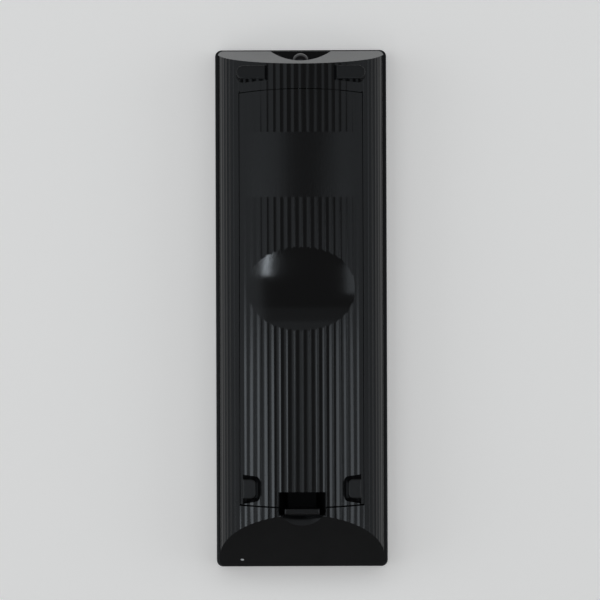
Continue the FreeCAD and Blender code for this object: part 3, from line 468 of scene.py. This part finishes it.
# Pieces and their meshes


class Workshop:
    """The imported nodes, the finishes made so far and the way a new piece is made."""

    def __init__(self, nodes: dict[str, bpy.types.Object]) -> None:
        """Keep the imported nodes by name."""
        self.nodes = nodes
        self.made: dict[str, bpy.types.Material] = {}

    def finish(self, finish: Finish) -> bpy.types.Material:
        """The material of a finish, built the first time that it is asked for."""
        if finish.name not in self.made:
            self.made[finish.name] = finish.material()
        return self.made[finish.name]

    def dress(self, name: str, finish: Finish) -> None:
        """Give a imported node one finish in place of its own."""
        slots = self.nodes[name].data.materials
        slots.clear()
        slots.append(self.finish(finish))
        LOG.info("%s dressed in %s", name, finish.name)

    def piece(
        self,
        name: str,
        points: Points,
        faces: Faces,
        finish: Finish,
        body: str,
        smooth: bool = False,
    ) -> bpy.types.Object:
        """Make a new piece from its points and faces, and let it ride on a body.

        Args:
            name: The piece's name.
            points: Its corners in metres, one row each.
            faces: Corner numbers of each face, seen from outside.
            finish: What it is made of.
            body: The body that it rides on.
            smooth: True where its faces stand for one curved surface.

        Returns:
            The new object.
        """
        mesh = bpy.data.meshes.new(name)
        mesh.from_pydata(points.tolist(), [], faces)
        mesh.polygons.foreach_set("use_smooth", [smooth] * len(mesh.polygons))
        mesh.materials.append(self.finish(finish))
        made = new_object(name, mesh)
        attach(made, body)
        LOG.info("%s made, %d faces, rides on %s", name, len(faces), body)
        return made


def plates(outlines: list[Points], low: float, high: float) -> tuple[Points, Faces]:
    """Thin plates raised from plan outlines: a floor, a lid and a wall of quads each.

    Args:
        outlines: Closed outlines, anticlockwise, one row of x and y per corner.
        low: Height of the floors.
        high: Height of the lids.

    Returns:
        Points and faces of all the plates.
    """
    points: list[Points] = []
    faces: Faces = []
    start = 0
    for outline in outlines:
        count = len(outline)
        for height in (low, high):
            points.append(np.column_stack([outline, np.full(count, height)]))
        floor = range(start + count - 1, start - 1, -1)
        faces.append(tuple(floor))
        faces.append(tuple(range(start + count, start + 2 * count)))
        ring = np.arange(count)
        after = (ring + 1) % count
        walls = np.column_stack([ring, after, after + count, ring + count]) + start
        faces.extend(map(tuple, walls.tolist()))
        start += 2 * count
    return np.vstack(points), faces


def dome(centre: Points, half: Points, down: bool) -> tuple[Points, Faces]:
    """Half an ellipsoid on a grid of turn and rise, closed at its pole and its floor.

    A point is the centre plus each half axis times (cos rise cos turn, cos rise sin
    turn, sin rise), with the last term turned over where the dome hangs down.

    Args:
        centre: Middle of the floor.
        half: Half axes.
        down: True where the dome hangs from its floor.

    Returns:
        Points and faces.
    """
    turns, rises = 24, 7
    turn = np.linspace(0, 2 * math.pi, turns, endpoint=False)
    rise = np.linspace(0, math.pi / 2, rises, endpoint=False)
    across = np.outer(np.cos(rise), np.cos(turn)).ravel()
    along = np.outer(np.cos(rise), np.sin(turn)).ravel()
    up = np.repeat(np.sin(rise), turns) * (-1 if down else 1)
    grid = np.column_stack([across, along, up]) * half + centre
    pole = centre + half * np.array([0, 0, -1 if down else 1])
    column = np.arange(turns)
    after = (column + 1) % turns
    faces: Faces = []
    for row in range(rises - 1):
        base = row * turns
        quads = np.column_stack([column, after, after + turns, column + turns]) + base
        faces.extend(map(tuple, quads.tolist()))
    top = (rises - 1) * turns
    faces.extend((top + a, top + b, rises * turns) for a, b in zip(column.tolist(), after.tolist()))
    faces.append(tuple(range(turns - 1, -1, -1)))
    if down:
        faces = [face[::-1] for face in faces]
    return np.vstack([grid, pole]), faces


# Marks on the keys


def wedge(x: float, size: float, heading: float = 0.0) -> Points:
    """A triangle that points along a heading, moved by x before it is turned."""
    corners = np.array([[-0.5, -0.6], [0.55, 0.0], [-0.5, 0.6]]) * size + np.array([x, 0.0])
    cos, sin = math.cos(heading), math.sin(heading)
    return corners @ np.array([[cos, sin], [-sin, cos]])


def bar(x: float, y: float, width: float, height: float) -> Points:
    """An upright rectangle round its middle."""
    corners = np.array([[-0.5, -0.5], [0.5, -0.5], [0.5, 0.5], [-0.5, 0.5]])
    return corners * np.array([width, height]) + np.array([x, y])


def band(radius: float, width: float, start: float, sweep: float) -> Points:
    """A piece of a ring: an outer arc and the inner arc back."""
    stops = 25
    turn = np.radians(np.linspace(start, start + sweep, stops))
    arc = np.column_stack([np.cos(turn), np.sin(turn)])
    return np.vstack([arc * (radius + width / 2), arc[::-1] * (radius - width / 2)])


def frame_bars(width: float, height: float, stroke: float) -> list[Points]:
    """Four bars that make a rectangular frame without overlaps."""
    x = (width - stroke) / 2
    y = (height - stroke) / 2
    inner = height - 2 * stroke
    level = [bar(0, side * y, width, stroke) for side in (1, -1)]
    upright = [bar(side * x, 0, stroke, inner) for side in (-1, 1)]
    return level + upright


class Mark(Enum):
    """Plain signs that any player's keys carry."""

    PLAY = "play"
    PAUSE = "pause"
    STOP = "stop"
    REWIND = "rewind"
    FORWARD = "forward"
    PREVIOUS = "previous"
    NEXT = "next"
    EJECT = "eject"
    POWER = "power"
    UP = "up"
    DOWN = "down"
    LEFT = "left"
    RIGHT = "right"
    OK = "ok"
    HOME = "home"
    RETURN = "return"
    OPTIONS = "options"
    TOP_MENU = "top_menu"
    POPUP_MENU = "popup_menu"

    def outlines(self) -> list[Points]:
        """The sign's outlines in millimetres, as a reader of the front sees them."""
        quarter = math.pi / 2
        stroke = 0.36
        window = frame_bars(2.4, 1.8, 0.3)
        signs = {
            Mark.PLAY: [wedge(0, 2.0)],
            Mark.PAUSE: [bar(-0.6, 0, 0.6, 2.0), bar(0.6, 0, 0.6, 2.0)],
            Mark.STOP: [bar(0, 0, 1.9, 1.9)],
            Mark.REWIND: [wedge(-0.9, 1.6, 2 * quarter), wedge(0.8, 1.6, 2 * quarter)],
            Mark.FORWARD: [wedge(-0.9, 1.6), wedge(0.8, 1.6)],
            Mark.PREVIOUS: [bar(-1.1, 0, 0.4, 1.9), wedge(-0.2, 1.6, 2 * quarter)],
            Mark.NEXT: [bar(1.1, 0, 0.4, 1.9), wedge(-0.2, 1.6)],
            Mark.EJECT: [wedge(0.35, 1.8, quarter), bar(0, -1.25, 2.1, 0.45)],
            Mark.POWER: [band(1.3, stroke, 125, 290), bar(0, 1.05, stroke, 1.5)],
            Mark.UP: [wedge(0, 1.6, quarter)],
            Mark.DOWN: [wedge(0, 1.6, -quarter)],
            Mark.LEFT: [wedge(0, 1.6, 2 * quarter)],
            Mark.RIGHT: [wedge(0, 1.6)],
            Mark.OK: [band(1.5, stroke, start, 180) for start in (0, 180)],
            Mark.HOME: [
                np.array([[-1.0, -1.0], [1.0, -1.0], [1.0, 0.2], [0.0, 1.2], [-1.0, 0.2]]),
            ],
            Mark.RETURN: [
                band(0.85, stroke, -90, 180),
                bar(-0.5, 0.85, 1.0, stroke),
                bar(-0.6, -0.85, 1.2, stroke),
                np.array([[-1.0, 1.45], [-1.9, 0.85], [-1.0, 0.25]]),
            ],
            Mark.OPTIONS: [bar(0, y, 2.2, stroke) for y in (0.8, 0, -0.8)],
            Mark.TOP_MENU: window,
            Mark.POPUP_MENU: window + [bar(0.3, -0.1, 0.8, 0.6)],
        }
        return signs[self]


@dataclass(frozen=True)
class Keypad:
    """The keys: rubber colours, printed marks and the two touch pips, in millimetres."""

    ink: float = 0.03
    digit_height: float = 2.9
    digit_share: float = 0.7
    pip_radius: float = 0.3
    pip_height: float = 0.18
    pip_inset: float = 1.35
    pip_keys: tuple[str, ...] = ("digit_5", "play")

    def build(self, shop: Workshop) -> None:
        """Dress every key, then print its mark."""
        coloured = {
            "red": RED_RUBBER,
            "green": GREEN_RUBBER,
            "yellow": YELLOW_RUBBER,
            "blue": BLUE_RUBBER,
        }
        for node in sorted(shop.nodes):
            if not node.endswith("_key"):
                continue
            name = node[:-len("_key")]
            shop.dress(node, coloured.get(name, KEY_RUBBER))
            if name not in coloured:
                self.mark(shop, name, node)
        for name in self.pip_keys:
            self.pip(shop, name)

    def mark(self, shop: Workshop, name: str, node: str) -> None:
        """Print one key's mark on its tip, turned over because the front faces down."""
        low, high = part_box(node)
        place = np.array([(low.x + high.x) / 2, (low.y + high.y) / 2, low.z])
        if name.startswith("digit_"):
            points, faces = self.digit(name[-1])
        else:
            outlines = [outline * MM for outline in Mark(name).outlines()]
            points, faces = plates(outlines, -self.ink * MM / 2, self.ink * MM / 2)
        points = points * np.array([-1, 1, -1]) + place
        shop.piece(name + "_mark", points, faces, KEY_INK, name)

    def digit(self, number: str) -> tuple[Points, Faces]:
        """Points and faces of a plain number, centred, as thick as the ink.

        The font's figures are a share of its size tall.
        """
        curve = bpy.data.curves.new("number", "FONT")
        curve.body = number
        curve.size = self.digit_height * MM / self.digit_share
        curve.align_x = "CENTER"
        curve.extrude = self.ink * MM / 2
        holder = new_object("number", curve)
        bpy.context.view_layer.update()
        drawn = holder.evaluated_get(bpy.context.evaluated_depsgraph_get())
        mesh = bpy.data.meshes.new_from_object(drawn)
        points = np.empty(len(mesh.vertices) * 3)
        mesh.vertices.foreach_get("co", points)
        points = points.reshape(-1, 3)
        points[:, :2] -= (points[:, :2].min(0) + points[:, :2].max(0)) / 2
        faces = [tuple(polygon.vertices) for polygon in mesh.polygons]
        bpy.data.objects.remove(holder)
        bpy.data.curves.remove(curve)
        bpy.data.meshes.remove(mesh)
        return points, faces

    def pip(self, shop: Workshop, name: str) -> None:
        """A small dome at the edge of a key, to find it by touch."""
        low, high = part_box(name + "_key")
        centre = np.array([(low.x + high.x) / 2, low.y + self.pip_inset * MM, low.z])
        half = np.array([self.pip_radius, self.pip_radius, self.pip_height]) * MM
        points, faces = dome(centre, half, True)
        shop.piece(name + "_pip", points, faces, KEY_RUBBER, name, smooth=True)


@dataclass(frozen=True)
class Casing:
    """The two shells, the door with its latch, and one fleck of dust on the tail.

    The fleck's place and half axes and the tail's fall and run are in millimetres.
    """

    fleck: tuple[float, float, float] = (-16.8, -70.45, 12.83)
    fleck_half: tuple[float, float, float] = (0.5, 0.35, 0.12)
    tail_fall: float = 14.1
    tail_run: float = 14.7

    def build(self, shop: Workshop) -> None:
        """Dress the shells and lay the fleck on the sloping tail."""
        for name in ("rear_case", "battery_bay", "bay_walls"):
            shop.dress(name, CASE_ABS)
        shop.dress("front_case", FACE_ABS)
        shop.dress("battery_door", DOOR_ABS)
        shop.dress("door_latch", LATCH_ABS)
        points, faces = dome(np.zeros(3), np.array(self.fleck_half) * MM, False)
        tilt = math.atan2(self.tail_fall, self.tail_run)
        cos, sin = math.cos(tilt), math.sin(tilt)
        turned = points @ np.array([[1, 0, 0], [0, cos, sin], [0, -sin, cos]])
        place = np.array(self.fleck) * MM
        shop.piece("dust_fleck", turned + place, faces, DUST, "root", smooth=True)


@dataclass(frozen=True)
class Electronics:
    """The board, its parts, the emitter and the keypad's mat."""

    def build(self, shop: Workshop) -> None:
        """Dress each of them, and the screws of the case."""
        finishes = {
            "keypad_mat": MAT_RUBBER,
            "circuit_board": BOARD,
            "control_chip": CHIP_EPOXY,
            "resistor_set": CHIP_EPOXY,
            "resonator": RESONATOR_COAT,
            "capacitor": CAPACITOR_SLEEVE,
            "driver_transistor": CHIP_EPOXY,
            "ir_emitter": EMITTER_EPOXY,
            "ir_emitter_leads": TINNED_WIRE,
            "case_screws": NICKEL,
        }
        for name, finish in finishes.items():
            shop.dress(name, finish)


@dataclass(frozen=True)
class PowerPack:
    """The two cells, their caps, the contacts and the printed pole signs.

    The signs' angle is in degrees from the top of the cell, the rest in millimetres.
    """

    sign_size: float = 2.6
    sign_stroke: float = 0.6
    sign_angle: float = 24.0
    sign_inset: float = 5.0
    film: float = 0.03

    def build(self, shop: Workshop) -> None:
        """Dress the metal and the sleeves, and print a plus and a minus on each cell."""
        for name in ("lower_cell", "upper_cell"):
            shop.dress(name, CELL_SLEEVE)
            shop.dress(name + "_cap", NICKEL)
            self.signs(shop, name)
        for name in ("battery_spring", "spring_plate", "contact_plate"):
            shop.dress(name, NICKEL)

    def signs(self, shop: Workshop, name: str) -> None:
        """Wrap the pole signs of one cell round its sleeve."""
        low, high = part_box(name)
        radius = (high.x - low.x) / 2
        axis = np.array([0.0, 0.0, (low.z + high.z) / 2])
        size, stroke = self.sign_size, self.sign_stroke
        arm = (size - stroke) / 2
        shift = (stroke + arm) / 2
        inset = self.sign_inset * MM
        minus = [bar(0, 0, size, stroke)]
        plus = minus + [bar(0, shift, stroke, arm), bar(0, -shift, stroke, arm)]
        signs = (("plus", plus, high.y - inset), ("minus", minus, low.y + inset))
        for sign, bars, y in signs:
            outlines = [outline * MM for outline in bars]
            flat, faces = plates(outlines, -self.film * MM, self.film * MM)
            turn = flat[:, 0] / radius + math.radians(self.sign_angle)
            reach = radius + flat[:, 2]
            wrapped = np.column_stack([reach * np.sin(turn), flat[:, 1] + y, reach * np.cos(turn)])
            shop.piece(f"{name}_{sign}", wrapped + axis, faces, KEY_INK, "root")


# Studio


@dataclass(frozen=True)
class Softbox:
    """One rectangular lamp that faces the handset's long axis, placed in metres.

    Its first side runs along the table where the lamp stands beside the handset.
    A card gives reflections only, and a fill gives soft light only.
    """

    name: str
    place: tuple[float, float, float]
    size: tuple[float, float]
    radiance: float
    aim_y: float = 0.0
    colour: tuple[float, float, float] = (0.90, 0.99, 1.07)
    card: bool = False
    fill: bool = False

    def build(self) -> None:
        """Make the lamp, whose power follows from its radiance and its area."""
        lamp = bpy.data.lights.new(self.name, "AREA")
        lamp.shape = "RECTANGLE"
        lamp.size, lamp.size_y = self.size
        lamp.color = self.colour
        lamp.energy = self.radiance * math.pi * self.size[0] * self.size[1]
        made = new_object(self.name, lamp)
        made.location = self.place
        aim = Vector((0.0, self.aim_y, 0.0)) - Vector(self.place)
        made.rotation_euler = aim.to_track_quat("-Z", "Y").to_euler()
        made.visible_camera = False
        made.visible_diffuse = not self.card
        made.visible_glossy = not self.fill


@dataclass(frozen=True)
class Studio:
    """Pale table, soft lamps and the camera straight overhead, far off with a long lens.

    The table has one colour for the light that it sends on and another, which also
    glows a little, for the eye. A reflection has a share of the second one, which
    fades out along the table between dim_to and dim_from, on the side of the tail.
    Lengths are in metres, apart from the mottle's, which is in millimetres.
    """

    camera_height: float = 4.0
    camera_x: float = -0.0004
    camera_y: float = 0.0023
    view_width: float = 0.1684
    outline_height: float = 0.0085
    roll: float = math.radians(-0.2)
    table_half: float = 1.6
    table_colour: str = "#D6D6D5"
    table_seen: str = "#F8F2EC"
    table_glow: float = 0.25
    table_gloss: float = 0.2
    table_rough: tuple[float, float] = (0.75, 0.9)
    table_mottle: float = 40.0
    mirror_share: float = 0.8
    dim_from: float = -0.35
    dim_to: float = -0.10
    world_level: float = 0.12
    softboxes: tuple[Softbox, ...] = (
        Softbox("panel_left", (-0.575, 0.0, 0.95), (1.0, 0.75), 0.33),
        Softbox("panel_right", (0.70, 0.0, 0.95), (1.0, 0.55), 0.28),
        Softbox("shoulder_left", (-0.95, 0.0, 0.52), (0.9, 0.42), 0.33),
        Softbox("shoulder_right", (0.95, 0.0, 0.52), (0.9, 0.42), 0.28),
        Softbox("low_left", (-0.75, 0.0, 0.12), (0.9, 0.16), 0.45),
        Softbox("low_right", (0.75, 0.0, 0.12), (0.9, 0.16), 0.45),
        Softbox("strip_left", (-0.150, -0.15, 0.22), (0.29, 0.07), 1.8, aim_y=-0.15, card=True),
        Softbox("strip_right", (0.150, -0.15, 0.22), (0.29, 0.07), 1.3, aim_y=-0.15, card=True),
        Softbox("dish_card", (0.102, -0.030, 0.32), (0.11, 0.03), 0.9, aim_y=-0.030, card=True),
        Softbox("key_lamp", (-0.222, -0.375, 1.12), (0.36, 0.014), 24.0, aim_y=-0.375),
        Softbox("far_low", (0.0, 0.34, 0.95), (1.2, 0.20), 0.08),
        Softbox("far_middle", (0.0, 0.54, 0.95), (1.2, 0.20), 0.20),
        Softbox("far_high", (0.0, 0.74, 0.95), (1.2, 0.20), 0.35),
        Softbox("top_fill", (0.0, 0.25, 0.95), (0.9, 0.7), 0.8, fill=True),
        Softbox("left_fill", (-0.7, 0.05, 0.5), (1.0, 0.4), 0.5, fill=True),
        Softbox("right_fill", (0.7, 0.05, 0.5), (1.0, 0.4), 0.4, fill=True),
    )

    def build(self) -> None:
        """Make the table, the lamps, the world and the camera."""
        self.table()
        for softbox in self.softboxes:
            softbox.build()
        world = bpy.data.worlds.new("studio_air")
        world.use_nodes = True
        air = world.node_tree.nodes["Background"]
        feed(world.node_tree, air, {"Color": WHITE, "Strength": self.world_level})
        bpy.context.scene.world = world
        bpy.context.scene.view_settings.view_transform = "Standard"
        self.camera()

    def table(self) -> None:
        """A large flat sheet of coated board, with the faintest mottle."""
        half = self.table_half
        sheet = bpy.data.meshes.new("table")
        corners = [(-half, -half, 0), (half, -half, 0), (half, half, 0), (-half, half, 0)]
        sheet.from_pydata(corners, [], [(0, 1, 2, 3)])
        table = new_object("table", sheet)
        board = bpy.data.materials.new("coated_board")
        board.use_nodes = True
        tree = board.node_tree
        where = add_node(tree, "TexCoord").outputs["Object"]
        path = add_node(tree, "LightPath").outputs
        # Painted shade: as the handset mirrors it, the table's pale colour and glow fade out
        # towards the tail.
        fade = {
            "From Min": self.dim_from,
            "From Max": self.dim_to,
            "To Max": self.mirror_share,
            "Value": add_node(tree, "SeparateXYZ", {0: where}).outputs["Y"],
        }
        share = add_node(tree, "MapRange", fade).outputs["Result"]
        mirrored = maths(tree, "MULTIPLY", path["Is Glossy Ray"], share)
        seen = maths(tree, "MAXIMUM", path["Is Camera Ray"], mirrored)
        rough = {
            "To Min": self.table_rough[0],
            "To Max": self.table_rough[1],
            "Value": noise(tree, where, self.table_mottle),
        }
        inputs = {
            "Base Color": mix(
                tree, "RGBA", seen, linear(self.table_colour), linear(self.table_seen)
            ),
            "Roughness": add_node(tree, "MapRange", rough).outputs["Result"],
            "Specular IOR Level": self.table_gloss,
            "Emission Color": WHITE,
            "Emission Strength": maths(tree, "MULTIPLY", seen, self.table_glow),
        }
        feed(tree, tree.nodes["Principled BSDF"], inputs)
        sheet.materials.append(board)

    def camera(self) -> None:
        """The photograph's view: straight down, its width set at the case's outline."""
        camera = bpy.data.cameras.new("camera")
        made = new_object("camera", camera)
        made.location = (self.camera_x, self.camera_y, self.camera_height)
        made.rotation_euler = (0, 0, self.roll)
        distance = self.camera_height - self.outline_height
        camera.angle = 2 * math.atan(self.view_width / 2 / distance)
        bpy.context.scene.camera = made


def main() -> None:
    """Load the frame, dress and finish each sub-assembly, and build the studio."""
    logging.basicConfig(level=logging.INFO, format="%(name)s %(message)s")
    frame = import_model()
    shop = Workshop(frame["nodes"])
    for part in (Casing(), Keypad(), Electronics(), PowerPack()):
        part.build(shop)
    Studio().build()


if __name__ == "__main__":
    main()
